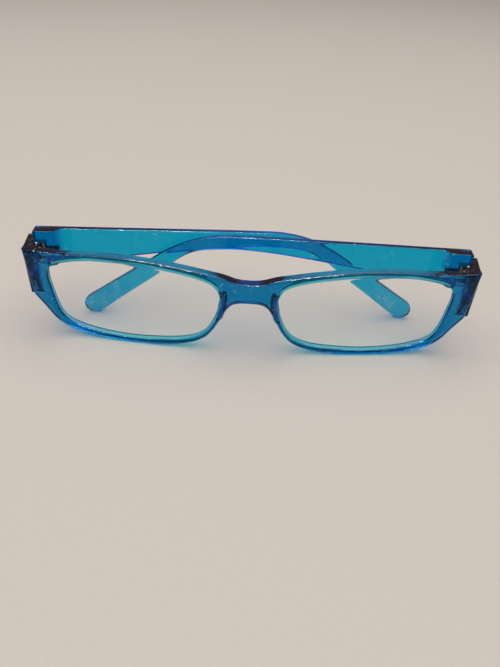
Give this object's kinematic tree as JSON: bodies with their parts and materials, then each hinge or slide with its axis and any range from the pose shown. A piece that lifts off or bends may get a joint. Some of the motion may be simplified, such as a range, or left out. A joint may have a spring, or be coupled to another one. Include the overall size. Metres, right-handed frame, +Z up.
{
  "type": "folding reading glasses",
  "caption": "Full-rim rectangular reading glasses with two clear lenses and two temples that fold on metal barrel hinges.",
  "frame": {"origin": "on the surface that the folded glasses stand on, under the middle of their outline", "axes": "+X to the wearer's left, -Y the way the wearer looks, +Z up"},
  "size_m": [0.1412, 0.0268, 0.0314],
  "materials": {
    "front_plastic": "glossy translucent blue injection-moulded plastic",
    "temple_plastic": "glossy translucent blue injection-moulded plastic",
    "lens": "clear moulded lens",
    "hinge_metal": "nickel-plated metal"
  },
  "bodies": {
    "front": {"front_frame": "front_plastic", "lens_right": "lens", "lens_left": "lens", "front_hinge_plate_right": "hinge_metal", "hinge_screw_right": "hinge_metal", "front_hinge_rivets_right": "hinge_metal", "front_hinge_plate_left": "hinge_metal", "hinge_screw_left": "hinge_metal", "front_hinge_rivets_left": "hinge_metal"},
    "temple_right": {"temple_right": "temple_plastic", "temple_hinge_plate_right": "hinge_metal", "temple_hinge_rivet_right": "hinge_metal"},
    "temple_left": {"temple_left": "temple_plastic", "temple_hinge_plate_left": "hinge_metal", "temple_hinge_rivet_left": "hinge_metal"}
  },
  "joints": [
    {"name": "right_temple_hinge", "type": "hinge", "parent": "front", "child": "temple_right", "pos_m": [-0.0678, 0.00537, 0.0238], "axis": [0, 0, 1], "range_deg": [0, 90]},
    {"name": "left_temple_hinge", "type": "hinge", "parent": "front", "child": "temple_left", "pos_m": [0.0678, 0.00537, 0.0238], "axis": [0, 0, -1], "range_deg": [0, 93]}
  ]
}
